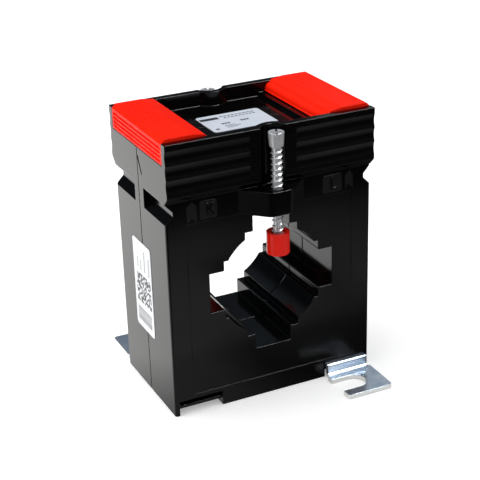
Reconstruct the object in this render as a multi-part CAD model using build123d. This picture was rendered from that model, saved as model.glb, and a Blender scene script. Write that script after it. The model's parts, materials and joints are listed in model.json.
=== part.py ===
from build123d import *
import os
from math import hypot, sqrt

# Window-type current transformer, 70 mm wide, for a flat busbar passed through a stepped window.
# Two equal moulded halves, front and back, are joined on the plane y = 0. Everything is in mm,
# +Z is up, the front faces -Y, and the origin is at the middle of the base, on the mounting surface.

# Housing
width = 70.0
body_depth = 40.4
box_depth = 45.0
wall = 1.8
box_wall = 2.5
tube_wall = 1.2
base_height = 7.0
deck_thickness = 3.0
box_room = 15.1
corner_radius = 0.8
seam_width = 0.25
seam_depth = 0.3
latch_drop = 2.9
latch_height = 5.1
latch_reach = 2.8
panel_inset = 6.6
panel_bottom = 6.4
panel_top_drop = 1.1
panel_depth = 0.3

# Window for the primary conductor: flat and upright bar, two wider steps and a round conductor
flat_bar_width = 42.8
flat_bar_height = 13.3
upright_bar_width = 12.6
upright_bar_height = 45.7
flat_step_width = 32.8
flat_step_height = 19.6
upright_step_width = 18.0
upright_step_height = 35.6
round_diameter = 35.8

# Ring coil round the window: strip core, two case halves and the secondary winding
coil_side_gap = 0.8
coil_lift = 0.45
coil_head_gap = 0.75
coil_tube_gap = 0.3
winding_thickness = 0.9
case_thickness = 0.5
coil_fit = 0.1
core_length = 27.0
cradle_gap = 0.3
cradle_thickness = 1.6
cradle_places = (4.2, 12.0)
locating_ring_width = 1.6

# Pegs and sockets that line the halves up
peg_diameter = 3.0
peg_length = 3.0
peg_fit = 0.1
peg_wall = 1.4
lower_peg_inset = 5.5
lower_peg_height = 11.0
upper_peg_inset = 8.0
upper_peg_drop = 5.5

# Grooves along both sides, under the terminal box, with a solid web at the seam
face_drop = 0.8
groove_top_drop = 0.2
groove_depth = 2.5
groove_upper_slope = 2.7
groove_floor = 1.4
groove_lower_slope = 2.5
groove_web = 7.0

# Flutes across the front and back of the terminal box
flute_count = 3
flute_pitch = 4.5
flute_first_drop = 4.0
flute_depth = 0.4
flute_half_width = 2.1
flute_end_gap = 3.1

# Conductor clamp: self-tapping screw in a nose on the housing, with an insulating pressure cap
screw_core_diameter = 3.7
screw_bore_fit = 0.1
screw_head_diameter = 4.9
screw_head_height = 4.4
screw_head_neck = 4.3
screw_slot_width = 0.9
screw_slot_depth = 1.3
screw_head_drop = 1.1
screw_recess_gap = 2.25
screw_recess_wall = 1.8
boss_height = 7.7
boss_wall = 1.6
boss_nose_half = 3.6
boss_nose_radius = 2.4
cap_diameter = 7.2
cap_height = 7.2
cap_wall = 1.2
cap_floor = 2.0
cap_screw_fit = 0.15
cap_face_gap = 0.5
cap_drop = 6.4
cap_edge = 0.5

# Terminal compartments at both ends of the box, and the label well between them
compartment_width = 15.0
partition_thickness = 1.8
partition_drop = 3.5
well_floor_drop = 4.7
well_floor_thickness = 1.5
end_wall_drop = 7.0

# Terminals: brass bar with a tail, two screws with square clamp plates
bar_width = 9.0
bar_length = 33.0
bar_shift = 0.7
bar_thickness = 3.0
bar_lift = 1.0
bar_fit = 0.15
bar_stop = 0.9
bar_foot_length = 4.0
tail_width = 3.2
tail_thickness = 1.5
tail_reach = 3.6
terminal_pitch = 19.0
terminal_thread = 4.9
terminal_thread_fit = 0.05
terminal_grip = 6.6
terminal_head_diameter = 7.6
terminal_head_height = 3.2
terminal_slot_width = 1.1
terminal_slot_depth = 1.4
clamp_plate_size = 8.4
clamp_plate_thickness = 1.2
clamp_plate_fit = 0.25
tip_well_gap = 1.0
tip_well_depth = 2.0
lead_diameter = 1.5
lead_rise = 3.4
lead_end_gap = 0.05
lead_slot_gap = 0.8

# Terminal covers, hinged at their inner edge on two pins
cover_proud = 1.0
cover_wall = 1.5
cover_side_gap = 0.2
cover_bevel = 1.3
cover_flat_width = 10.0
cover_fall = 0.6
cover_shoulder_width = 4.1
cover_slope_width = 2.5
cover_slope_height = 3.5
cover_end_depth = 4.6
cover_skirt_gap = 0.2
hinge_inset = 14.5
hinge_drop = 2.3
hinge_pin_diameter = 2.4
hinge_pin_length = 1.4
hinge_pin_fit = 0.1
hinge_barrel_wall = 0.6
grip_count = 4
grip_pitch = 1.35
grip_first_drop = 2.6
grip_depth = 0.45
grip_end = 1.0

# Mounting feet: zinc-plated sheet steel, folded, with an open slot; one front right, one back left
foot_thickness = 1.5
foot_width = 16.1
foot_side_inset = 0.7
foot_reach = 16.8
foot_bend_radius = 0.6
foot_corner_radius = 1.0
tongue_width = 14.5
tongue_length = 10.5
tongue_bottom = 3.4
slot_width = 7.8
slot_center_reach = 9.4
slot_length = 6.2
pocket_fit = 0.15
pocket_side_fit = 0.2
pocket_rail = 0.6
pocket_mouth_depth = 4.0

# Labels
label_width = 21.8
label_depth = 15.6
label_thickness = 0.15
label_shift_x = -1.0
label_shift_y = 0.8
label_radius = 1.2
side_label_width = 14.6
side_label_height = 31.0
side_label_middle = 36.5
side_label_shift = 1.2

# Worked out from the sizes above
half_width = width / 2
face_y = body_depth / 2
box_y = box_depth / 2
box_inner_y = box_y - box_wall
coil_outer = half_width - wall - coil_side_gap
window_z = base_height + coil_lift + coil_outer
cavity_top = window_z + coil_outer + coil_head_gap
cavity_front = face_y - wall
deck_top = cavity_top + deck_thickness
rim_z = deck_top + box_room
face_top = cavity_top - face_drop
overhang = abs(box_y - face_y)
groove_top = face_top - groove_top_drop
groove_bottom = groove_top - groove_upper_slope - groove_floor - groove_lower_slope
inner_x = half_width - wall
partition_x = inner_x - compartment_width
well_x = partition_x - partition_thickness
partition_top = rim_z - partition_drop
well_floor = rim_z - well_floor_drop
end_wall_top = rim_z - end_wall_drop
latch_top = end_wall_top - latch_drop

window_reach = max(
    hypot(flat_bar_width / 2 + tube_wall, flat_bar_height / 2 + tube_wall),
    hypot(upright_bar_width / 2 + tube_wall, upright_bar_height / 2 + tube_wall),
    hypot(flat_step_width / 2 + tube_wall, flat_step_height / 2 + tube_wall),
    hypot(upright_step_width / 2 + tube_wall, upright_step_height / 2 + tube_wall),
    round_diameter / 2 + tube_wall,
)
winding_inner = window_reach + coil_tube_gap
winding_outer = coil_outer
case_inner = winding_inner + winding_thickness + coil_fit
case_outer = winding_outer - winding_thickness - coil_fit
core_inner = case_inner + case_thickness + coil_fit
core_outer = case_outer - case_thickness - coil_fit
core_half = core_length / 2
case_half = core_half + coil_fit + case_thickness
winding_half = case_half + coil_fit + winding_thickness

screw_y = face_y + cap_face_gap + cap_diameter / 2
boss_bottom = face_top - boss_height
boss_nose = screw_y + screw_core_diameter / 2 + boss_wall
cap_top = boss_bottom - cap_drop
cap_bottom = cap_top - cap_height
screw_top = rim_z - screw_head_drop
screw_tip = cap_bottom + cap_floor
recess_radius = screw_head_diameter / 2 + screw_recess_gap

bar_x = (partition_x + inner_x) / 2 + bar_shift
bar_bottom = deck_top + bar_lift
bar_top = bar_bottom + bar_thickness
terminal_head_bottom = bar_top + clamp_plate_thickness
terminal_tip = terminal_head_bottom - terminal_grip

cover_top = rim_z + cover_proud
cover_half = box_inner_y - cover_side_gap
hinge_x = half_width - hinge_inset
hinge_z = rim_z - hinge_drop
skirt_bottom = end_wall_top + cover_skirt_gap


def block(x0, x1, y0, y1, z0, z1):
    """A box between two corners."""
    middle = Pos((x0 + x1) / 2, (y0 + y1) / 2, (z0 + z1) / 2)
    return middle * Box(x1 - x0, y1 - y0, z1 - z0)


def upright(x, y, z0, z1, radius):
    """A cylinder along Z."""
    return Pos(x, y, (z0 + z1) / 2) * Cylinder(radius, z1 - z0)


def lengthwise(x, z, y0, y1, radius):
    """A cylinder along Y."""
    return Pos(x, (y0 + y1) / 2, z) * Rot(90, 0, 0) * Cylinder(radius, y1 - y0)


def crosswise(y, z, x0, x1, radius):
    """A cylinder along X."""
    return Pos((x0 + x1) / 2, y, z) * Rot(0, 90, 0) * Cylinder(radius, x1 - x0)


def ring(inner, outer, y0, y1):
    """A ring about the axis of the window."""
    return lengthwise(0, window_z, y0, y1, outer) - lengthwise(0, window_z, y0, y1, inner)


def across_y(points, y0, y1):
    """A prism along Y with its outline given as (x, z) points."""
    outline = make_face(Polyline(*[(x, y0, z) for x, z in points], close=True))
    return extrude(outline, amount=y1 - y0, dir=(0, 1, 0))


def across_x(points, x0, x1):
    """A prism along X with its outline given as (y, z) points."""
    outline = make_face(Polyline(*[(x0, y, z) for y, z in points], close=True))
    return extrude(outline, amount=x1 - x0, dir=(1, 0, 0))


def window_prism(y0, y1, grow):
    """The stepped window, widened all round by grow."""
    outline = Rectangle(flat_bar_width + 2 * grow, flat_bar_height + 2 * grow)
    outline += Rectangle(upright_bar_width + 2 * grow, upright_bar_height + 2 * grow)
    outline += Rectangle(flat_step_width + 2 * grow, flat_step_height + 2 * grow)
    outline += Rectangle(upright_step_width + 2 * grow, upright_step_height + 2 * grow)
    outline += Circle(round_diameter / 2 + grow)
    plane = Plane(origin=(0, y1, window_z), x_dir=(1, 0, 0), z_dir=(0, -1, 0))
    return extrude(plane * outline, amount=y1 - y0)


def turned(shape):
    """The same piece half a turn round the vertical axis, from front to back."""
    return Rot(0, 0, 180) * shape


def mirrored_x(shape):
    """The same piece on the other side, from right to left."""
    return mirror(shape, about=Plane.YZ)


def both_sides(shape):
    return shape + mirrored_x(shape)


def side_groove():
    """The groove along the right side of the front half, up to the web at the seam."""
    inner = half_width - groove_depth
    beyond = half_width + groove_depth
    floor_top = groove_top - groove_upper_slope
    floor_bottom = groove_bottom + groove_lower_slope
    points = [
        (beyond, groove_top + groove_upper_slope),
        (inner, floor_top),
        (inner, floor_bottom),
        (beyond, groove_bottom - groove_lower_slope),
    ]
    return across_y(points, -box_y, -groove_web / 2)


def clamp_boss():
    """The nose on the front face that the clamp screw runs in."""
    root_half = boss_nose_half + boss_nose - face_y
    outline = make_face(
        Polyline(
            (-root_half, -face_y, boss_bottom),
            (-boss_nose_half, -boss_nose, boss_bottom),
            (boss_nose_half, -boss_nose, boss_bottom),
            (root_half, -face_y, boss_bottom),
            (root_half - wall, -face_y + wall, boss_bottom),
            (-root_half + wall, -face_y + wall, boss_bottom),
            close=True,
        )
    )
    nose = extrude(outline, amount=boss_height, dir=(0, 0, 1))
    nose_edges = nose.edges().filter_by(Axis.Z).group_by(Axis.Y)[0]
    return fillet(nose_edges, boss_nose_radius)


def terminal_box():
    """The solid block of the terminal box on the front half, with its flutes.

    Its foot slopes from the face of the body to its own face, whichever stands further out.
    """
    profile = [
        (0, face_top),
        (-face_y, face_top),
        (-box_y, face_top + overhang),
        (-box_y, rim_z),
        (0, rim_z),
    ]
    box = across_x(profile, -half_width, half_width)
    radius = (flute_half_width**2 + flute_depth**2) / (2 * flute_depth)
    axis_y = -box_y - radius + flute_depth
    flute_end = recess_radius + flute_end_gap
    for number in range(flute_count):
        z = rim_z - flute_first_drop - number * flute_pitch
        box -= both_sides(crosswise(axis_y, z, flute_end, half_width, radius))
    return box


def front_panel():
    """The shallow sunk panel round the window on the front face."""
    panel_x = half_width - panel_inset
    panel_top = groove_bottom - panel_top_drop
    return block(-panel_x, panel_x, -face_y, -face_y + panel_depth, panel_bottom, panel_top)


def coil_cavity():
    """The room for the coil in the front half, clear of the window tube."""
    room = block(-inner_x, inner_x, -cavity_front, 0, base_height, cavity_top)
    middle = tongue_inner_x() - wall
    room += block(-middle, middle, -cavity_front, 0, wall, base_height)
    shelf = half_width - groove_depth - wall
    room -= both_sides(block(shelf, inner_x, -cavity_front, 0, groove_bottom - wall, cavity_top))
    room -= window_prism(-cavity_front, 0, tube_wall)
    web = block(-inner_x, inner_x, 0, cradle_thickness, base_height, cavity_top)
    web -= lengthwise(0, window_z, 0, cradle_thickness, coil_outer + cradle_gap)
    for place in cradle_places:
        room -= Pos(0, -place, 0) * web
    middle_radius = (core_inner + core_outer) / 2
    room -= ring(
        middle_radius - locating_ring_width / 2,
        middle_radius + locating_ring_width / 2,
        -cavity_front,
        -winding_half - cradle_gap,
    )
    for x, z in peg_places():
        room -= both_sides(lengthwise(x, z, -cavity_front, 0, peg_diameter / 2 + peg_wall))
    return room


def peg_places():
    """Centres of the pegs and sockets on the right side, as (x, z)."""
    lower = (half_width - lower_peg_inset, lower_peg_height)
    upper = (half_width - upper_peg_inset, cavity_top - upper_peg_drop)
    return [lower, upper]


def tongue_inner_x():
    """The inner end of a foot pocket."""
    return half_width - foot_side_inset - tongue_width - 2 * pocket_side_fit - pocket_end_x()


def pocket_end_x():
    """How far the pocket's outer end lies inside the foot's outer edge."""
    return (foot_width - tongue_width) / 2


def foot_pocket():
    """The slot at the right of the front half that a foot's tongue pushes into."""
    x0 = tongue_inner_x()
    x1 = x0 + tongue_width + 2 * pocket_side_fit
    slot_bottom = tongue_bottom - pocket_fit
    slot_top = tongue_bottom + foot_thickness + pocket_fit
    depth = tongue_length + pocket_fit
    slot = block(x0, x1, -face_y, -face_y + depth, slot_bottom, slot_top)
    mouth = block(x0, x1, -face_y, -face_y + pocket_mouth_depth, 0, slot_bottom - pocket_rail)
    rail_front = block(x0, x1, -face_y, -face_y + foot_bend_radius, 0, slot_bottom)
    return slot + mouth + rail_front


def terminal_rooms():
    """What is cut from the top of the front half: compartments, well, chamber and lead ways."""
    above = rim_z + wall
    room = block(partition_x, inner_x, -box_inner_y, 0, deck_top, above)
    room += block(inner_x, half_width, -box_inner_y, 0, end_wall_top, above)
    room += block(well_x, partition_x, -box_inner_y, 0, partition_top, above)
    well_y = terminal_pitch / 2
    tip_radius = terminal_thread / 2 + tip_well_gap
    room += upright(bar_x, -well_y, deck_top - tip_well_depth, deck_top, tip_radius)
    tail_side = tail_width / 2 + bar_fit
    tail_floor = bar_top - tail_thickness - bar_fit
    room += block(well_x, partition_x, -tail_side, 0, tail_floor, bar_top + bar_fit)
    lead_side = lead_diameter / 2 + lead_slot_gap
    slot_inner = lead_foot_x() - lead_side
    slot_outer = lead_head_x() + lead_side
    room += block(slot_inner, slot_outer, -lead_side, 0, cavity_top, deck_top)
    rooms = both_sides(room)
    rooms += block(-well_x, well_x, -box_inner_y, 0, well_floor, above)
    rooms += block(-well_x, well_x, -box_inner_y, 0, deck_top, well_floor - well_floor_thickness)
    return rooms


def bar_feet():
    """Pads on the deck that carry and stop the right terminal bar in the front half."""
    x0 = bar_x - bar_width / 2 + wall / 2
    x1 = bar_x + bar_width / 2 - wall / 2
    end = bar_length / 2
    feet = block(x0, x1, -end, -end + bar_foot_length, deck_top, bar_bottom)
    feet += block(x0, x1, -bar_foot_length, 0, deck_top, bar_bottom)
    stop_y = end + bar_fit
    feet += block(x0, x1, -stop_y - bar_stop, -stop_y, deck_top, bar_top)
    return feet


def hinge_holes():
    """Blind holes for the pins of both covers in the front wall of the box."""
    depth = hinge_pin_length + cover_side_gap + hinge_pin_fit
    radius = hinge_pin_diameter / 2 + hinge_pin_fit
    return both_sides(lengthwise(hinge_x, hinge_z, -box_inner_y - depth, -box_inner_y, radius))


def seam_relief():
    """The fine line round the outside and round the window where the halves meet."""
    side = both_sides(
        block(half_width - seam_depth, half_width, -seam_width, 0, 0, end_wall_top)
    )
    return side + window_prism(-seam_width, 0, seam_depth)


def latch_line():
    """The slanting edge of the snap latch, on the left end wall of the front half."""
    points = [
        (0, latch_top),
        (-latch_reach, latch_top - latch_height),
        (-latch_reach - seam_width, latch_top - latch_height),
        (-seam_width, latch_top),
    ]
    return across_x(points, -half_width, -half_width + seam_depth)


def housing_half():
    """The front half of the housing. The back half is the same moulding, turned."""
    body = block(-half_width, half_width, -face_y, 0, 0, face_top)
    body = fillet(body.edges().filter_by(Axis.Z).group_by(Axis.Y)[0], corner_radius)
    body -= front_panel()
    shell = body + terminal_box() + clamp_boss()
    shell -= both_sides(side_groove())
    shell -= coil_cavity()
    shell -= terminal_rooms()
    shell += both_sides(bar_feet())
    bulge = upright(0, -screw_y, deck_top, rim_z, recess_radius + screw_recess_wall)
    shell += bulge & block(-half_width, half_width, -box_y, 0, deck_top, rim_z)
    shell -= upright(0, -screw_y, face_top, rim_z, recess_radius)
    bore = screw_core_diameter / 2 + screw_bore_fit
    shell -= upright(0, -screw_y, boss_bottom, face_top, bore)
    shell -= hinge_holes()
    shell -= both_sides(foot_pocket())
    shell -= seam_relief()
    shell -= latch_line()
    for x, z in peg_places():
        shell += lengthwise(-x, z, 0, peg_length, peg_diameter / 2)
        socket_radius = peg_diameter / 2 + peg_fit
        shell -= lengthwise(x, z, -peg_length - peg_fit, 0, socket_radius)
    shell -= window_prism(-box_y, 0, 0)
    return shell


def core():
    return ring(core_inner, core_outer, -core_half, core_half)


def core_case_half():
    case = ring(case_inner, case_outer, -case_half, 0)
    channel = ring(core_inner - coil_fit, core_outer + coil_fit, -core_half - coil_fit, 0)
    return case - channel


def winding():
    outside = ring(winding_inner, winding_outer, -winding_half, winding_half)
    inside_half = case_half + coil_fit
    return outside - ring(case_inner - coil_fit, case_outer + coil_fit, -inside_half, inside_half)


def lead_head_x():
    """Where the right lead meets the underside of the terminal tail."""
    return well_x - tail_reach + tail_width / 2


def lead_foot_x():
    """Where the right lead leaves the winding."""
    return lead_head_x() - lead_rise


def lead():
    """The right lead, from the top of the winding to the tail of the terminal bar."""
    foot_z = window_z + sqrt(winding_outer**2 - lead_foot_x() ** 2) + lead_diameter / 4
    head_z = bar_top - tail_thickness - lead_end_gap
    third = (head_z - foot_z) / 3
    points = [
        (lead_foot_x(), 0, foot_z),
        (lead_foot_x(), 0, foot_z + third),
        (lead_head_x(), 0, head_z - third),
        (lead_head_x(), 0, head_z),
    ]
    path = FilletPolyline(*points, radius=lead_diameter)
    start = Plane(origin=points[0], z_dir=(0, 0, 1))
    return sweep(start * Circle(lead_diameter / 2), path=path)


def terminal_bar():
    """The right brass bar, with a tail that the lead is soldered to."""
    bar = block(
        bar_x - bar_width / 2, bar_x + bar_width / 2,
        -bar_length / 2, bar_length / 2, bar_bottom, bar_top,
    )
    bar += block(
        well_x - tail_reach, bar_x,
        -tail_width / 2, tail_width / 2, bar_top - tail_thickness, bar_top,
    )
    for side in (-1, 1):
        y = side * terminal_pitch / 2
        bar -= upright(bar_x, y, bar_bottom, bar_top, terminal_thread / 2 + terminal_thread_fit)
    return bar


def terminal_screw(x, y):
    screw = upright(x, y, terminal_tip, terminal_head_bottom, terminal_thread / 2)
    head_top = terminal_head_bottom + terminal_head_height
    head = upright(x, y, terminal_head_bottom, head_top, terminal_head_diameter / 2)
    head = chamfer(head.edges().group_by(Axis.Z)[-1], terminal_slot_width / 4)
    slot_half = terminal_slot_width / 2
    reach = terminal_head_diameter / 2
    slot_floor = head_top - terminal_slot_depth
    head -= block(x - reach, x + reach, y - slot_half, y + slot_half, slot_floor, head_top)
    return screw + head


def clamp_plate(x, y):
    half = clamp_plate_size / 2
    plate = block(x - half, x + half, y - half, y + half, bar_top, terminal_head_bottom)
    bore = terminal_thread / 2 + clamp_plate_fit
    return plate - upright(x, y, bar_top, terminal_head_bottom, bore)


def cover():
    """The right terminal cover, closed, with its hinge pins and grip ribs."""
    flat_end = half_width - cover_flat_width
    shoulder = flat_end - cover_shoulder_width
    inner_edge = shoulder - cover_slope_width
    shoulder_z = cover_top - cover_fall
    inner_z = shoulder_z - cover_slope_height
    end_bottom = cover_top - cover_end_depth
    outline = [
        (inner_edge, inner_z),
        (shoulder, shoulder_z),
        (flat_end, cover_top),
        (half_width - cover_bevel, cover_top),
        (half_width, cover_top - cover_bevel),
        (half_width, skirt_bottom),
        (half_width - cover_wall, skirt_bottom),
        (half_width - cover_wall, end_bottom),
        (hinge_x, end_bottom),
    ]
    shell = across_y(outline, -cover_half, cover_half)
    inner_outline = [
        (hinge_x, end_bottom),
        (hinge_x, shoulder_z - cover_wall - cover_fall),
        (flat_end, cover_top - cover_wall),
        (half_width - cover_wall, cover_top - cover_wall),
        (half_width - cover_wall, end_bottom),
    ]
    shell -= across_y(inner_outline, -cover_half + cover_wall, cover_half - cover_wall)
    pin_end = cover_half + hinge_pin_length
    barrel = hinge_pin_diameter / 2 + hinge_barrel_wall
    shell += lengthwise(hinge_x, hinge_z, -cover_half, cover_half, barrel)
    shell += lengthwise(hinge_x, hinge_z, -pin_end, pin_end, hinge_pin_diameter / 2)
    groove_end = cover_half - grip_end
    for number in range(grip_count):
        z = cover_top - grip_first_drop - number * grip_pitch
        groove = lengthwise(half_width, z, -groove_end, groove_end, grip_depth)
        shell -= groove
    return shell


def clamp_screw():
    """The front clamp screw. Its thread is drawn with the finish, so the shank is plain."""
    neck_z = screw_top - screw_head_height
    screw = upright(0, -screw_y, screw_tip, neck_z, screw_core_diameter / 2)
    head = Pos(0, -screw_y, neck_z) * Cone(
        screw_head_neck / 2,
        screw_head_diameter / 2,
        screw_head_height,
        align=(Align.CENTER, Align.CENTER, Align.MIN),
    )
    slot_half = screw_slot_width / 2
    reach = screw_head_diameter / 2
    slot_floor = screw_top - screw_slot_depth
    head -= block(-reach, reach, -screw_y - slot_half, -screw_y + slot_half, slot_floor, screw_top)
    return screw + head


def pressure_cap():
    """The front pressure cap, a cup pushed over the tip of the clamp screw."""
    cap = upright(0, -screw_y, cap_bottom, cap_top, cap_diameter / 2)
    cap = fillet(cap.edges().group_by(Axis.Z)[0], cap_edge)
    mouth = cap_diameter / 2 - cap_wall
    grip = screw_core_diameter / 2 + cap_screw_fit
    middle = (screw_tip + cap_top) / 2
    cap -= upright(0, -screw_y, screw_tip, middle, grip)
    cap -= upright(0, -screw_y, middle, cap_top, mouth)
    return cap


def foot():
    """The front right foot: plate on the floor, a step up and a tongue into the pocket."""
    outer = half_width - foot_side_inset
    fold_front = face_y + pocket_fit + foot_thickness
    tongue_top = tongue_bottom + foot_thickness
    front = face_y + foot_reach
    profile = [
        (-front, 0),
        (-fold_front + foot_thickness, 0),
        (-fold_front + foot_thickness, tongue_bottom),
        (-face_y + tongue_length, tongue_bottom),
        (-face_y + tongue_length, tongue_top),
        (-fold_front, tongue_top),
        (-fold_front, foot_thickness),
        (-front, foot_thickness),
    ]
    x0 = outer - (foot_width + tongue_width) / 2
    strip = across_x(profile, x0, x0 + tongue_width)
    outer_bends = strip.edges().filter_by(Axis.X).filter_by(
        lambda edge: abs(edge.center().Y + fold_front) < foot_thickness / 4
        or abs(edge.center().Y + fold_front - foot_thickness) < foot_thickness / 4
    )
    strip = fillet(outer_bends, foot_bend_radius)
    plate_back = fold_front + foot_bend_radius
    plate = block(outer - foot_width, outer, -front, -plate_back, 0, foot_thickness)
    plate = fillet(plate.edges().filter_by(Axis.Z), foot_corner_radius)
    piece = strip + plate
    slot_y = -face_y - slot_center_reach
    slot_end = outer - foot_width + slot_length
    half = slot_width / 2
    slot = block(outer - foot_width, slot_end, slot_y - half, slot_y + half, 0, foot_thickness)
    slot += upright(slot_end, slot_y, 0, foot_thickness, half)
    return piece - slot


def rating_label():
    sheet = RectangleRounded(label_width, label_depth, label_radius)
    return Pos(label_shift_x, label_shift_y, well_floor) * extrude(sheet, amount=label_thickness)


def side_label():
    sheet = RectangleRounded(side_label_width, side_label_height, label_radius)
    plane = Plane(
        origin=(-half_width, side_label_shift, side_label_middle),
        x_dir=(0, -1, 0),
        z_dir=(-1, 0, 0),
    )
    return extrude(plane * sheet, amount=label_thickness)


def build():
    """All pieces by name, each at its place."""
    front_half = housing_half()
    case_front = core_case_half()
    right_lead = lead()
    right_bar = terminal_bar()
    right_cover = cover()
    screw = clamp_screw()
    cap = pressure_cap()
    front_foot = foot()
    pieces = {
        "housing_front": front_half,
        "housing_back": turned(front_half),
        "core_ring": core(),
        "core_case_front": case_front,
        "core_case_back": turned(case_front),
        "secondary_winding": winding(),
        "lead_right": right_lead,
        "lead_left": mirrored_x(right_lead),
        "terminal_bar_right": right_bar,
        "terminal_bar_left": mirrored_x(right_bar),
        "terminal_cover_right": right_cover,
        "terminal_cover_left": mirrored_x(right_cover),
        "clamp_screw_front": screw,
        "clamp_screw_back": turned(screw),
        "pressure_cap_front": cap,
        "pressure_cap_back": turned(cap),
        "foot_front_right": front_foot,
        "foot_back_left": turned(front_foot),
        "rating_label": rating_label(),
        "side_label": side_label(),
    }
    for side, x in (("left", -bar_x), ("right", bar_x)):
        for end, y in (("front", -terminal_pitch / 2), ("back", terminal_pitch / 2)):
            pieces[f"terminal_screw_{side}_{end}"] = terminal_screw(x, y)
            pieces[f"clamp_plate_{side}_{end}"] = clamp_plate(x, y)
    return pieces


os.makedirs("parts", exist_ok=True)
for name, piece in build().items():
    export_step(piece, f"parts/{name}.step")
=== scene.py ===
import json
from math import cos, pi, radians, sin

import bmesh
import bpy
from mathutils import Euler, Matrix, Vector


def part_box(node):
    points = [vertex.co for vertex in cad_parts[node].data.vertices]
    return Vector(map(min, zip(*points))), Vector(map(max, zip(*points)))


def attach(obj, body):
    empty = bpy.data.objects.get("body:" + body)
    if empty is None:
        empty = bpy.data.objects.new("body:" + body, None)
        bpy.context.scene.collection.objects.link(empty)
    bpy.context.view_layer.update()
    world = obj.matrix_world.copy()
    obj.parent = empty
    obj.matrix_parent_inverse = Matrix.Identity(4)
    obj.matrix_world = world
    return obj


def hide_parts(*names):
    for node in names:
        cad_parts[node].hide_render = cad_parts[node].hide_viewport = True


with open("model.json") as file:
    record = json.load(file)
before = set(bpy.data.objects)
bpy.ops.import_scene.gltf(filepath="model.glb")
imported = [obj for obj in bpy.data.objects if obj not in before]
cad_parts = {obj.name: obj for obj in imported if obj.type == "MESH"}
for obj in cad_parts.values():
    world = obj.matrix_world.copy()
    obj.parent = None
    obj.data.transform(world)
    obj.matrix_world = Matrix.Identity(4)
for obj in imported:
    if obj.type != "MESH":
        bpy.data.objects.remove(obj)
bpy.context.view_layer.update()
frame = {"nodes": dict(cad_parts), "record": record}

# Sizes of the part's pieces are in mm, and those of the looks and the studio in metres
MM = 0.001


def box_mm(node):
    """The lowest and highest corner of a node of the frame, in mm."""
    return [[round(value / MM, 3) for value in corner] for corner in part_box(node)]


# Places taken from the frame, and the front face of the housing, which stands behind its bosses
screw_low, screw_high = box_mm("clamp_screw_back")
SCREW_Y = (screw_low[1] + screw_high[1]) / 2
SCREW_TIP = screw_low[2]
SCREW_TOP = screw_high[2]
HALF_WIDTH = box_mm("housing_back")[1][0]
LABEL_TOP = box_mm("rating_label")[1][2]
SIDE_LABEL_X = box_mm("side_label")[0][0]
FACE_Y = 20.2

# Clamp screw: the ridge's half width is a share of the pitch, and its overshoot flattens the crest
HEAD_HEIGHT = 4.4
NECK = SCREW_TOP - HEAD_HEIGHT
SHANK_CORE = 2.8
THREAD_CREST = 3.68
THREAD_PITCH = 1.8
RIDGE_HALF_WIDTH = 0.17
RIDGE_OVERSHOOT = 1.2
TIP_RUN_OUT = 1.2
NECK_RUN_OUT = 0.6
RINGS_PER_TURN = 24
SHANK_STEPS = 48
HEAD_STEPS = 64
# Slot and cross in the head: each cut's degrees from the slot, half length, depth and half width
HEAD_CUTS = ((0, 3.2, 0.7, 0.30), (0, 1.6, 1.5, 0.42), (90, 1.6, 1.5, 0.42))
HEAD_TURN = 65

# Raised marks on the front, and how deep they and the painted shade strips of the latch gaps are seated
RAISE = 0.22
TILE = 0.14
TILE_FOOT = 65.2
TILE_TOP = 71.1
TILE_CORNER = 0.5
SEAT = -0.05

# Painted shade: a thin matt black strip on each end wall stands for the shade in the gap along the snap
# latch
GAP_FOOT = 76.1
GAP_TOP = 81.4
GAP_PROUD = 0.02

# Print on the labels: its height, the letters of a column and the cells of the square
PRINT = 0.02
LETTER_PITCH = 0.9
LETTER_HEIGHT = 0.42
LETTER_HALF_WIDTH = 0.45
CELL = 0.73
CELL_ROWS = 14
CELL_COLUMNS = 16

# Looks: the rounding of edges, how high moulded faces wave, and the range that most of a noise lies in
FINE_EDGE = 0.00018
MOULDED_WAVE = 0.00012
NOISE_RANGE = (0.3, 0.7)
WHITE = (1, 1, 1, 1)
# A face is upright where its normal has less Z than this, and looks to the front or back where it has more Y
UPRIGHT_Z = 0.5
AHEAD_Y = 0.85


def fill(tree, node, settings):
    """Sets inputs of a node, each to a plain value or to the output that feeds it."""
    for name, value in settings.items():
        if isinstance(value, bpy.types.NodeSocket):
            tree.links.new(value, node.inputs[name])
        else:
            node.inputs[name].default_value = value
    return node


def added(tree, kind, settings=None):
    """A new node with some of its inputs set."""
    return fill(tree, tree.nodes.new(f"ShaderNode{kind}"), settings or {})


def shading(material):
    """The node tree and the shader of a material."""
    tree = material.node_tree
    return tree, tree.nodes["Principled BSDF"]


def new_material(name):
    """A new material, with its node tree and its shader."""
    material = bpy.data.materials.new(name)
    material.use_nodes = True
    return material, *shading(material)


def split(tree, vector):
    """The X, Y and Z of a vector."""
    return added(tree, "SeparateXYZ", {"Vector": vector}).outputs


def object_coordinates(tree):
    """Each point's place in the part, in metres."""
    return added(tree, "TexCoord").outputs["Object"]


def place_and_normal(tree):
    """The X, Y and Z of each point's place in metres, and of its normal."""
    source = added(tree, "TexCoord").outputs
    return split(tree, source["Object"]), split(tree, source["Normal"])


def worked(tree, operation, first, second=0.0):
    """A sum on two values, each a number or an output."""
    node = added(tree, "Math", {0: first, 1: second})
    node.operation = operation
    return node.outputs["Value"]


def product(tree, first, *others):
    """All the values multiplied."""
    for other in others:
        first = worked(tree, "MULTIPLY", first, other)
    return first


def noise(tree, source, scale, detail=3.0, roughness=0.5, stretch=None):
    """A noise over a place, which a stretch can draw out along an axis."""
    if stretch:
        source = added(tree, "Mapping", {"Vector": source, "Scale": stretch}).outputs["Vector"]
    settings = {"Vector": source, "Scale": scale, "Detail": detail, "Roughness": roughness}
    return added(tree, "TexNoise", settings).outputs["Fac"]


def mapped(tree, value, start, end, low=0.0, high=1.0):
    """Lays a value between start and end out from low to high."""
    settings = {"Value": value, "From Min": start, "From Max": end, "To Min": low, "To Max": high}
    return added(tree, "MapRange", settings).outputs["Result"]


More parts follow.
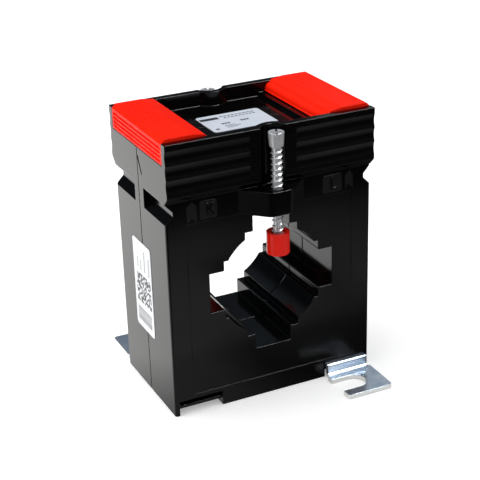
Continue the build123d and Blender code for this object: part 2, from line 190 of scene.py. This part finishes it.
def spread(tree, value, low, high):
    """A noise turned into a range of values."""
    return mapped(tree, value, *NOISE_RANGE, low, high)


def colour_line(tree, value, stops):
    """A colour read off a line through its stops, each a position from 0 to 1 and a colour."""
    node = added(tree, "ValToRGB", {"Fac": value})
    elements = node.color_ramp.elements
    while len(elements) < len(stops):
        elements.new(0.5)
    for element, (position, colour) in zip(elements, stops):
        element.position = position
        element.color = (*colour, 1)
    return node.outputs["Color"]


def two_tone(tree, value, first, second):
    """A noise turned into patches of two close colours."""
    return colour_line(tree, value, ((0.35, first), (0.65, second)))


def bumped(tree, value, strength, distance, edge=FINE_EDGE):
    """A normal with a fine unevenness on top of slightly rounded edges."""
    rounded = added(tree, "Bevel", {"Radius": edge})
    rounded.samples = 6
    return added(tree, "Bump", {
        "Height": value,
        "Strength": strength,
        "Distance": distance,
        "Normal": rounded.outputs["Normal"],
    }).outputs["Normal"]


def plastic(name, first, second, gloss, edge=FINE_EDGE, index=1.5):
    """Moulded plastic: a slight unevenness of colour, gloss and surface."""
    material, tree, shader = new_material(name)
    place = object_coordinates(tree)
    cloud = noise(tree, place, scale=60.0)
    fine = noise(tree, place, scale=900.0, detail=4.0, roughness=0.6)
    wave = noise(tree, place, scale=45.0, detail=2.0, roughness=0.4)
    fill(tree, shader, {
        "Base Color": two_tone(tree, cloud, first, second),
        "Roughness": spread(tree, fine, *gloss),
        "Normal": bumped(tree, wave, 0.12, MOULDED_WAVE, edge),
        "IOR": index,
    })
    return material


def metal(name, first, second, gloss, stretch, grain=0.00002, shine=1.0):
    """Plated or drawn metal, its grain along the axis of least stretch. Less shine is a matt plating."""
    material, tree, shader = new_material(name)
    place = object_coordinates(tree)
    cloud = noise(tree, place, scale=110.0)
    lines = noise(tree, place, scale=700.0, detail=5.0, roughness=0.6, stretch=stretch)
    fill(tree, shader, {
        "Base Color": two_tone(tree, cloud, first, second),
        "Roughness": spread(tree, lines, *gloss),
        "Normal": bumped(tree, lines, 0.25, grain),
        "Metallic": shine,
    })
    return material


def film(name, first, second, rough):
    """Coated label film, or the print on it, with a faint unevenness."""
    material, tree, shader = new_material(name)
    place = object_coordinates(tree)
    cloud = noise(tree, place, scale=90.0)
    fine = noise(tree, place, scale=500.0)
    fill(tree, shader, {
        "Base Color": two_tone(tree, cloud, first, second),
        "Roughness": spread(tree, fine, rough - 0.05, rough + 0.05),
    })
    return material


def paler_cut_edges(material, colour, height):
    """Makes the upright cut edges of a sheet matt and pale, up to a height."""
    tree, shader = shading(material)
    place, normal = place_and_normal(tree)
    upright = worked(tree, "LESS_THAN", worked(tree, "ABSOLUTE", normal["Z"]), UPRIGHT_Z)
    edge = product(tree, upright, worked(tree, "LESS_THAN", place["Z"], height))
    rolled_colour = shader.inputs["Base Color"].links[0].from_socket
    mix = tree.nodes.new("ShaderNodeMix")
    mix.data_type = "RGBA"
    fill(tree, mix, {"Factor": edge, "A": rolled_colour, "B": (*colour, 1)})
    rolled = worked(tree, "SUBTRACT", 1.0, edge)
    shine = shader.inputs["Metallic"].default_value
    fill(tree, shader, {"Base Color": mix.outputs["Result"], "Metallic": product(tree, rolled, shine)})


def sharper_base_edges(material, base_height, share):
    """Narrows the rounding of the edges below a height to a share of what it is above."""
    tree = material.node_tree
    rounded = next(node for node in tree.nodes if node.bl_idname == "ShaderNodeBevel")
    edge = rounded.inputs["Radius"].default_value
    above = worked(tree, "GREATER_THAN", split(tree, object_coordinates(tree))["Z"], base_height)
    radius = worked(tree, "ADD", product(tree, above, edge * (1 - share)), edge * share)
    fill(tree, rounded, {"Radius": radius})


def satin_flutes(material, box_height, box_reach, roughness):
    """Gives the fluted front and back of the upper box a satin finish, rougher by a number."""
    tree, shader = shading(material)
    place, normal = place_and_normal(tree)
    ahead = worked(tree, "GREATER_THAN", worked(tree, "ABSOLUTE", normal["Y"]), AHEAD_Y)
    outer = worked(tree, "GREATER_THAN", worked(tree, "ABSOLUTE", place["Y"]), box_reach)
    high = worked(tree, "GREATER_THAN", place["Z"], box_height)
    smooth = shader.inputs["Roughness"].links[0].from_socket
    satin = product(tree, ahead, outer, high, roughness)
    fill(tree, shader, {"Roughness": worked(tree, "ADD", smooth, satin)})


looks = {
    "black_plastic": plastic(
        "black_plastic", (0.0010, 0.0010, 0.0011), (0.0016, 0.0016, 0.0017), (0.10, 0.16),
        edge=0.00036, index=1.36),
    "marked_plastic": plastic(
        "marked_plastic", (0.0012, 0.0012, 0.0013), (0.0020, 0.0020, 0.0021), (0.34, 0.44),
        edge=0.00026, index=1.42),
    # Matt black for the painted shade in the latch gaps
    "gap_painted_shade": plastic(
        "gap_painted_shade", (0.0008, 0.0008, 0.0008), (0.0012, 0.0012, 0.0012), (0.80, 0.90), index=1.10),
    "red_plastic": plastic(
        "red_plastic", (0.93, 0.012, 0.002), (0.98, 0.016, 0.003), (0.26, 0.34), index=1.11),
    "red_cap": plastic(
        "red_cap", (0.62, 0.010, 0.004), (0.70, 0.014, 0.006), (0.16, 0.26), index=1.30),
    "zinc_screw": metal(
        "zinc_screw", (0.66, 0.68, 0.70), (0.80, 0.81, 0.82), (0.24, 0.38), (1.0, 1.0, 0.2), shine=0.72),
    "zinc_head": metal(
        "zinc_head", (0.50, 0.51, 0.52), (0.62, 0.63, 0.64), (0.30, 0.46), (1.0, 1.0, 0.08),
        grain=0.00006, shine=0.6),
    "zinc_sheet": metal(
        "zinc_sheet", (0.50, 0.60, 0.72), (0.70, 0.77, 0.85), (0.16, 0.26), (0.15, 1.0, 1.0),
        grain=0.000004, shine=0.84),
    "brass_bar": metal(
        "brass_bar", (0.70, 0.53, 0.24), (0.82, 0.66, 0.34), (0.24, 0.38), (1.0, 0.12, 1.0)),
    "terminal_steel": metal(
        "terminal_steel", (0.62, 0.62, 0.64), (0.76, 0.76, 0.78), (0.22, 0.36), (1.0, 1.0, 0.3)),
    "core_steel": metal(
        "core_steel", (0.28, 0.29, 0.31), (0.42, 0.43, 0.45), (0.30, 0.45), (1.0, 0.05, 1.0)),
    "case_plastic": plastic(
        "case_plastic", (0.66, 0.63, 0.54), (0.74, 0.71, 0.63), (0.45, 0.6)),
    "winding_copper": metal(
        "winding_copper", (0.46, 0.15, 0.04), (0.62, 0.24, 0.08), (0.22, 0.34), (1.0, 0.05, 1.0)),
    "lead_sleeve": plastic(
        "lead_sleeve", (0.74, 0.71, 0.60), (0.82, 0.79, 0.70), (0.45, 0.6)),
    "rating_label": film("rating_label", (0.60, 0.67, 0.76), (0.66, 0.72, 0.81), 0.38),
    "side_label": film("side_label", (0.80, 0.83, 0.86), (0.86, 0.88, 0.90), 0.42),
    "label_ink": film("label_ink", (0.018, 0.020, 0.026), (0.030, 0.032, 0.040), 0.40),
    "label_pale_ink": film("label_pale_ink", (0.07, 0.08, 0.10), (0.11, 0.12, 0.15), 0.40),
}
sharper_base_edges(looks["black_plastic"], base_height=0.012, share=0.25)
satin_flutes(looks["black_plastic"], box_height=0.0735, box_reach=0.0215, roughness=0.11)
paler_cut_edges(looks["zinc_sheet"], (0.86, 0.87, 0.86), height=0.00148)

slot_of = {row["node"]: row["material_slot"] for row in frame["record"]["subparts"]}
for name, node in frame["nodes"].items():
    node.data.materials.clear()
    node.data.materials.append(looks[slot_of[name]])
    for face in node.data.polygons:
        face.material_index = 0


def make_piece(name, verts, faces, body, slot, material, smooth=False):
    """A piece from points in mm, riding on a body."""
    mesh = bpy.data.meshes.new(name)
    mesh.from_pydata([Vector(v) * MM for v in verts], [], faces)
    mesh.validate()
    mesh.materials.append(material)
    work = bmesh.new()
    work.from_mesh(mesh)
    bmesh.ops.recalc_face_normals(work, faces=work.faces)
    work.to_mesh(mesh)
    work.free()
    for face in mesh.polygons:
        face.use_smooth = smooth
    piece = bpy.data.objects.new(name, mesh)
    bpy.context.scene.collection.objects.link(piece)
    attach(piece, body)
    return piece


def ring(steps, radius_at, z):
    """Points about the Z axis, with a radius for each share of a turn."""
    points = []
    for step in range(steps):
        share = step / steps
        radius = radius_at(share)
        points.append((radius * cos(2 * pi * share), radius * sin(2 * pi * share), z))
    return points


def lofted(rings):
    """A closed skin through rings of as many points each, lowest first."""
    steps = len(rings[0])
    verts = [point for points in rings for point in points]
    last = len(verts) - steps
    faces = []
    for start in range(0, last, steps):
        for step in range(steps):
            a = start + step
            b = start + (step + 1) % steps
            faces.append((a, b, b + steps, a + steps))
    faces.append(tuple(reversed(range(steps))))
    faces.append(tuple(range(last, last + steps)))
    return verts, faces


def thread_radius(z, share):
    """The shank's radius at a height and a share of a turn: one ridge a pitch, run out at both ends."""
    phase = ((z - SCREW_TIP) / THREAD_PITCH - share) % 1.0
    ridge = min(1.0, RIDGE_OVERSHOOT * max(0.0, 1 - abs(phase - 0.5) / RIDGE_HALF_WIDTH))
    run_out = max(0.0, min(1.0, (z - SCREW_TIP) / TIP_RUN_OUT, (NECK - z) / NECK_RUN_OUT))
    return (SHANK_CORE + (THREAD_CREST - SHANK_CORE) * ridge * run_out) / 2


def shank_mesh():
    """The helical thread from the blunt tip up to the head, about its own axis."""
    count = int((NECK - SCREW_TIP) / THREAD_PITCH * RINGS_PER_TURN)
    heights = [SCREW_TIP + (NECK - SCREW_TIP) * number / count for number in range(count + 1)]
    return lofted([ring(SHANK_STEPS, lambda share: thread_radius(z, share), z) for z in heights])


def head_mesh():
    """The screw's head before its slot is cut, slightly tapered, with a rounded top edge."""
    profile = [
        (1.2, NECK - 0.05), (2.1, NECK), (2.15, NECK + 0.1),
        (2.43, SCREW_TOP - 0.2), (2.38, SCREW_TOP - 0.05), (2.28, SCREW_TOP)]
    verts, faces = lofted([ring(HEAD_STEPS, lambda share: radius, z) for radius, z in profile])
    mesh = bpy.data.meshes.new("head_draft")
    mesh.from_pydata(verts, [], faces)
    return mesh


def box_mesh(name, half):
    """A box about the origin, given by its half sizes."""
    x, y, z = half
    verts = [(sx * x, sy * y, sz * z) for sx in (-1, 1) for sy in (-1, 1) for sz in (-1, 1)]
    faces = [(0, 1, 3, 2), (4, 6, 7, 5), (0, 4, 5, 1), (2, 3, 7, 6), (0, 2, 6, 4), (1, 5, 7, 3)]
    mesh = bpy.data.meshes.new(name)
    mesh.from_pydata(verts, [], faces)
    return mesh


def cut(target, tool_mesh, matrix):
    """Cuts a box out of a mesh and applies the cut."""
    tool = bpy.data.objects.new("cut_tool", tool_mesh)
    tool.matrix_world = matrix
    bpy.context.scene.collection.objects.link(tool)
    step = target.modifiers.new("cut", "BOOLEAN")
    step.operation = "DIFFERENCE"
    step.solver = "EXACT"
    step.object = tool
    bpy.context.view_layer.update()
    done = bpy.data.meshes.new_from_object(target.evaluated_get(bpy.context.evaluated_depsgraph_get()))
    target.modifiers.clear()
    target.data = done
    bpy.data.objects.remove(tool)


def clamp_screw(end, sign):
    """The threaded shank and the slotted head that stand for one clamp screw."""
    y = sign * SCREW_Y
    verts, faces = shank_mesh()
    moved = [(vx, vy + y, vz) for vx, vy, vz in verts]
    shank = make_piece(
        f"clamp_thread_{end}", moved, faces, f"clamp_screw_{end}", "zinc_screw", looks["zinc_screw"],
        smooth=True)
    draft = bpy.data.objects.new(f"clamp_head_{end}", head_mesh())
    bpy.context.scene.collection.objects.link(draft)
    for turn, half_length, depth, half_width in HEAD_CUTS:
        reach = box_mesh("slot", (half_length, half_width, depth))
        place = Matrix.Translation((0, 0, SCREW_TOP)) @ Matrix.Rotation(radians(turn + HEAD_TURN), 4, "Z")
        cut(draft, reach, place)
    draft.data.transform(Matrix.Scale(MM, 4) @ Matrix.Translation((0, y, 0)))
    draft.data.materials.clear()
    draft.data.materials.append(looks["zinc_head"])
    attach(draft, f"clamp_screw_{end}")
    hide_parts(f"clamp_screw_{end}")


clamp_screw("front", -1)
clamp_screw("back", 1)


def prism(outline, low, high, place):
    """A closed prism: the outline's points go through place(u, v, depth)."""
    count = len(outline)
    verts = [place(u, v, low) for u, v in outline] + [place(u, v, high) for u, v in outline]
    faces = [tuple(range(count)), tuple(reversed(range(count, 2 * count)))]
    faces += [(i, i + count, (i + 1) % count + count, (i + 1) % count) for i in range(count)]
    return verts, faces


def joined(parts):
    """The points and faces of several parts as one."""
    verts, faces = [], []
    for part_verts, part_faces in parts:
        start = len(verts)
        verts += part_verts
        faces += [tuple(i + start for i in face) for face in part_faces]
    return verts, faces


def rectangle(u0, u1, v0, v1):
    return [(u0, v0), (u1, v0), (u1, v1), (u0, v1)]


def tile(u0, u1, v0, v1, corner):
    """A rectangle with its corners cut off."""
    return [
        (u0 + corner, v0), (u1 - corner, v0), (u1, v0 + corner), (u1, v1 - corner),
        (u1 - corner, v1), (u0 + corner, v1), (u0, v1 - corner), (u0, v0 + corner),
    ]


def on_front(u, v, depth):
    return (u, -FACE_Y - depth, v)


def on_end(sign):
    """Lays an outline on the left end wall for the sign -1, and turned half round on the right one for 1."""
    return lambda u, v, depth: (sign * (HALF_WIDTH + depth), -sign * u, v)


def on_label(u, v, depth):
    return (u, v, LABEL_TOP + depth)


def on_side(u, v, depth):
    return (SIDE_LABEL_X - depth, u, v)


# Raised marks on the front: at each side an arrow, and a tile with a letter on it
arrow_left = [(-28.2, 64.8), (-26.55, 66.4), (-24.9, 64.8), (-24.9, 70.0), (-26.4, 71.6), (-28.2, 70.0)]
arrow_right = [(25.7, 65.6), (27.1, 66.9), (28.5, 65.6), (28.5, 70.0), (27.3, 71.3), (25.7, 70.0)]
letter_k = [
    (-21.7, 66.2), (-21.0, 66.2), (-21.0, 67.9), (-19.8, 66.2), (-19.0, 66.2), (-20.4, 68.2),
    (-19.0, 70.2), (-19.8, 70.2), (-21.0, 68.5), (-21.0, 70.2), (-21.7, 70.2)]
letter_l = [(20.7, 66.2), (22.6, 66.2), (22.6, 66.8), (21.4, 66.8), (21.4, 70.2), (20.7, 70.2)]
marks = [prism(arrow, SEAT, RAISE, on_front) for arrow in (arrow_left, arrow_right)]
for left, right in ((-23.9, -18.2), (17.8, 24.6)):
    marks.append(prism(tile(left, right, TILE_FOOT, TILE_TOP, TILE_CORNER), SEAT, TILE, on_front))
make_piece("front_marks", *joined(marks), "housing", "black_plastic", looks["marked_plastic"])
letters = [prism(letter, SEAT, RAISE, on_front) for letter in (letter_k, letter_l)]
make_piece("front_letters", *joined(letters), "housing", "black_plastic", looks["black_plastic"])

# Painted shade: the open gap along the snap latch on each end wall, drawn as a thin matt black strip that
# stands for the shade in it
latch_gap_shade = [(0.1, GAP_TOP), (-0.75, GAP_TOP), (-3.3, GAP_FOOT), (-2.65, GAP_FOOT)]
for end, sign in (("left", -1), ("right", 1)):
    strip = prism(latch_gap_shade, SEAT, GAP_PROUD, on_end(sign))
    make_piece(f"latch_gap_shade_{end}", *strip, "housing", "black_plastic", looks["gap_painted_shade"])


def printed(name, outlines, place, slot, material):
    """Flat marks on a label, half sunk in it."""
    prisms = [prism(outline, -PRINT, PRINT, place) for outline in outlines]
    make_piece(name, *joined(prisms), "housing", slot, material)


def row_of_blocks(count, start, width, pitch, low, high):
    """Outlines of like blocks side by side."""
    places = [start + number * pitch for number in range(count)]
    return [rectangle(left, left + width, low, high) for left in places]


def draws(seed):
    """An endless row of whole numbers, the same on each run."""
    while True:
        seed = (seed * 1103515245 + 12345) % 2147483648
        yield seed


def letter_columns():
    """Four upright columns of small blocks, each column given by its middle and its two ends."""
    columns = ((5.0, 42.6, 46.8), (2.5, 42.2, 46.0), (-0.7, 42.4, 49.6), (-4.2, 42.2, 49.2))
    outlines = []
    for middle, foot, top in columns:
        left, right = middle - LETTER_HALF_WIDTH, middle + LETTER_HALF_WIDTH
        for number in range(int((top - foot) / LETTER_PITCH)):
            low = foot + number * LETTER_PITCH
            outlines.append(rectangle(left, right, low, low + LETTER_HEIGHT))
    return outlines


def cell_square(numbers, right=6.7, top=40.5):
    """A square of cells, of which about five in eight are dark."""
    outlines = []
    for row in range(CELL_ROWS):
        for column in range(CELL_COLUMNS):
            if (next(numbers) >> 12) % 8 < 5:
                u = right - column * CELL
                v = top - row * CELL
                outlines.append(rectangle(u - CELL, u, v - CELL, v))
    return outlines


def line_block(numbers, top=28.0, left=-4.4, right=6.8, count=9, gap=0.30):
    """Lines of three thicknesses, one below the other."""
    outlines = []
    for _ in range(count):
        thick = 0.16 + 0.10 * ((next(numbers) >> 14) % 3)
        outlines.append(rectangle(left, right, top - thick, top))
        top -= thick + gap
    return outlines


# Generic marks on the two labels: blocks, cells and lines
dark_print = [rectangle(-11.5, -5.3, 4.3, 6.3), rectangle(-10.4, -9.2, -5.0, -4.0)]
dark_print += row_of_blocks(3, -6.6, width=0.75, pitch=1.0, low=-1.0, high=0.1)
dark_print += row_of_blocks(3, 0.0, width=0.75, pitch=1.0, low=-0.5, high=0.6)
printed("rating_label_print", dark_print, on_label, "rating_label", looks["label_ink"])
faint_print = row_of_blocks(9, -4.4, width=1.0, pitch=1.35, low=5.9, high=6.6)
faint_print += row_of_blocks(9, -3.6, width=0.9, pitch=1.25, low=4.3, high=5.0)
for number, line_end in enumerate((-3.0, -1.4, -3.0)):
    faint_print.append(rectangle(-6.5, line_end, -2.5 - number, -2.15 - number))
printed("rating_label_faint_print", faint_print, on_label, "rating_label", looks["label_pale_ink"])
numbers = draws(7)
side_print = letter_columns() + cell_square(numbers) + line_block(numbers)
printed("side_label_print", side_print, on_side, "side_label", looks["label_ink"])


def ramp(tree, source, stops):
    """A value read off a line through its stops, each a place in metres and twice the value there."""
    start, end = stops[0][0], stops[-1][0]
    shares = [((place - start) / (end - start), (value / 2,) * 3) for place, value in stops]
    return colour_line(tree, mapped(tree, source, start, end), shares)


def floor_glow(tree, place):
    """How the floor shines in gloss: bright behind and to the left, dimmer in front, with a dark patch."""
    axes = split(tree, place)
    x, y = axes["X"], axes["Y"]
    lean = worked(tree, "ADD", product(tree, x, -0.9), y)
    rear_lean = ramp(tree, lean, ((-0.04, 0.0), (0.02, 0.44), (0.06, 1.30), (0.16, 1.62), (0.24, 1.80)))
    rear_depth = ramp(tree, y, ((-0.08, 0.2), (-0.015, 2.0)))
    far_depth = ramp(tree, y, (
        (-0.19, 0.0), (-0.165, 0.05), (-0.145, 0.38), (-0.11, 0.52), (-0.08, 0.60),
        (-0.062, 0.42), (-0.052, 0.12), (-0.035, 0.05), (-0.020, 0.03)))
    far_side = ramp(tree, x, (
        (-0.08, 0.1), (-0.03, 2.0), (0.03, 1.9), (0.055, 1.1), (0.075, 1.6), (0.09, 1.3), (0.13, 0.8)))
    near_depth = ramp(tree, y, ((-0.075, 0.0), (-0.055, 0.36), (-0.040, 0.32), (-0.020, 0.12)))
    near_side = ramp(tree, x, ((-0.06, 0.4), (-0.03, 2.0), (-0.012, 1.8), (0.006, 0.2)))
    patch_depth = ramp(tree, y, ((-0.126, 0.0), (-0.118, 2.0), (-0.088, 2.0), (-0.080, 0.0)))
    patch_side = ramp(tree, x, ((0.014, 0.0), (0.023, 2.0), (0.053, 2.0), (0.060, 0.0)))
    unpatched = worked(tree, "SUBTRACT", 1.0, product(tree, patch_depth, patch_side, 0.75))
    rear = product(tree, rear_lean, rear_depth)
    far = product(tree, far_depth, far_side, unpatched)
    near = product(tree, near_depth, near_side)
    front = worked(tree, "ADD", far, near)
    return product(tree, worked(tree, "ADD", rear, front), 2.0)


def floor_paper():
    """Pale paper, a little lifted for the camera, with a glow by place that only gloss shows."""
    material, tree, shader = new_material("floor_paper")
    place = object_coordinates(tree)
    cloud = noise(tree, place, scale=3.0)
    fill(tree, shader, {
        "Base Color": two_tone(tree, cloud, (0.955, 0.957, 0.96), (0.965, 0.967, 0.97)),
        "Roughness": 0.7,
        "Specular IOR Level": 0.2,
    })
    ray = added(tree, "LightPath").outputs
    lift = added(tree, "Emission", {"Strength": product(tree, ray["Is Camera Ray"], 0.30)})
    glow = added(tree, "Emission", {"Color": (1, 0.99, 0.98, 1), "Strength": floor_glow(tree, place)})
    lifted = added(tree, "AddShader", {0: shader.outputs["BSDF"], 1: lift.outputs["Emission"]})
    surface = added(tree, "MixShader", {
        "Fac": ray["Is Glossy Ray"],
        1: lifted.outputs["Shader"],
        2: glow.outputs["Emission"],
    })
    fill(tree, tree.nodes["Material Output"], {"Surface": surface.outputs["Shader"]})
    return material


# Studio: a pale floor that runs out to a pale room
FLOOR_REACH = 6.0
FLOOR_DROP = 0.0001
floor_mesh = bpy.data.meshes.new("studio_floor")
corners = rectangle(-FLOOR_REACH, FLOOR_REACH, -FLOOR_REACH, FLOOR_REACH)
floor_mesh.from_pydata([(x, y, 0) for x, y in corners], [], [(0, 1, 2, 3)])
floor_mesh.materials.append(floor_paper())
floor = bpy.data.objects.new("studio_floor", floor_mesh)
floor.location = (0, 0, -FLOOR_DROP)
bpy.context.scene.collection.objects.link(floor)


def studio_world():
    """An evenly lit room, white to the camera, which in gloss is dim low down and brighter above."""
    world = bpy.data.worlds.new("studio")
    world.use_nodes = True
    tree = world.node_tree
    even = fill(tree, tree.nodes["Background"], {"Color": WHITE, "Strength": 0.66})
    white = added(tree, "Background", {"Color": WHITE, "Strength": 1.0})
    height = split(tree, added(tree, "TexCoord").outputs["Generated"])["Z"]
    brightness = mapped(tree, height, 0.42, 0.62, 0.05, 0.40)
    dim = added(tree, "Background", {"Color": (0.70, 0.84, 1.0, 1), "Strength": brightness})
    ray = added(tree, "LightPath").outputs
    mirrored = added(tree, "MixShader", {
        "Fac": ray["Is Glossy Ray"],
        1: even.outputs["Background"],
        2: dim.outputs["Background"],
    })
    seen = added(tree, "MixShader", {
        "Fac": ray["Is Camera Ray"],
        1: mirrored.outputs["Shader"],
        2: white.outputs["Background"],
    })
    fill(tree, tree.nodes["World Output"], {"Surface": seen.outputs["Shader"]})
    return world


bpy.context.scene.world = studio_world()


def softbox(name, place, aim, size, power, gloss_only=False):
    """A rectangular soft light aimed at a point, or one that shows only in gloss."""
    light = bpy.data.lights.new(name, "AREA")
    light.shape = "RECTANGLE"
    light.size, light.size_y = size
    light.energy = power
    lamp = bpy.data.objects.new(name, light)
    lamp.location = place
    lamp.rotation_mode = "QUATERNION"
    lamp.rotation_quaternion = (Vector(aim) - Vector(place)).to_track_quat("-Z", "Y")
    lamp.visible_diffuse = not gloss_only
    bpy.context.scene.collection.objects.link(lamp)


softbox("key_top", (-0.15, 0.10, 0.75), (0, 0, 0.05), (0.7, 0.7), 2.6)
softbox("left_side", (-0.75, 0.10, 0.30), (0, 0, 0.05), (0.4, 0.4), 1.8)
softbox("edge_light", (0.35, -0.38, 0.76), (0, 0, 0.06), (0.45, 0.45), 15.0, gloss_only=True)
softbox("rear_card", (0.30, 0.33, 0.25), (0.03, -0.03, 0.0), (0.16, 0.10), 0.015, gloss_only=True)

# Camera, as fitted to the photograph's straight edges, with its tilt, roll and heading in degrees
CAMERA_PLACE = (-0.161961, -0.342300, 0.213033)
CAMERA_TURN = (66.15368, 1.60362, -25.83417)
camera_data = bpy.data.cameras.new("camera")
camera_data.sensor_width = 36.0
camera_data.lens = 95.7176
camera_data.clip_start, camera_data.clip_end = 0.01, 20.0
camera = bpy.data.objects.new("camera", camera_data)
turn = Euler([radians(angle) for angle in CAMERA_TURN]).to_matrix().to_4x4()
camera.matrix_world = Matrix.Translation(CAMERA_PLACE) @ turn
bpy.context.scene.collection.objects.link(camera)
bpy.context.scene.camera = camera
bpy.context.scene.view_settings.view_transform = "Standard"
